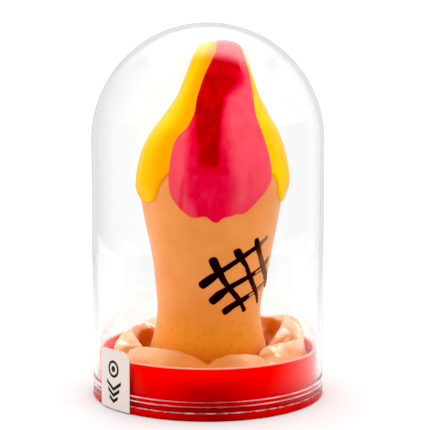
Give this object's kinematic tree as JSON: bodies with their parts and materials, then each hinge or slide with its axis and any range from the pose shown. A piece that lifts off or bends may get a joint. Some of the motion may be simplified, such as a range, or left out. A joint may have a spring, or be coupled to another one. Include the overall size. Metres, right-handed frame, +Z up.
{
  "type": "domed novelty figure",
  "caption": "Painted latex novelty figure on an inner stake, its loose hem gathered in a red cup base under a clear lift-off display dome.",
  "frame": {"origin": "centre of the cup base's foot ring, on the surface that the object stands on", "axes": "+Z up along the dome's axis; -Y towards the painted front; +X to the right when the front is seen"},
  "size_m": [0.0714, 0.0714, 0.113],
  "materials": {
    "clear_plastic": "clear moulded polystyrene, glossy",
    "red_plastic": "translucent red moulded polystyrene, glossy",
    "label_paper": "matt coated paper with a black printed mark",
    "latex": "thin translucent peach latex, satin",
    "yellow_paint": "thick flexible paint, glossy",
    "pink_paint": "translucent flexible paint, glossy",
    "black_paint": "brushed flexible paint, satin",
    "wadding_fibre": "loose white fibre",
    "stake_board": "plain die-cut fibreboard"
  },
  "bodies": {
    "base": {"base_cup": "red_plastic"},
    "figure": {"inner_stake": "stake_board", "wadding": "wadding_fibre", "latex_sheath": "latex", "gathered_hem": "latex", "rolled_bead": "latex", "yellow_coat": "yellow_paint", "pink_coat": "pink_paint", "grid_lines": "black_paint"},
    "dome": {"dome": "clear_plastic", "seal_label": "label_paper"}
  },
  "joints": [
    {"name": "figure_turn", "type": "hinge", "parent": "base", "child": "figure", "pos_m": [0, 0, 0], "axis": [0, 0, 1], "continuous": true},
    {"name": "dome_lift", "type": "slide", "parent": "base", "child": "dome", "axis": [0, 0, 1], "range_m": [0, 0.115]}
  ]
}
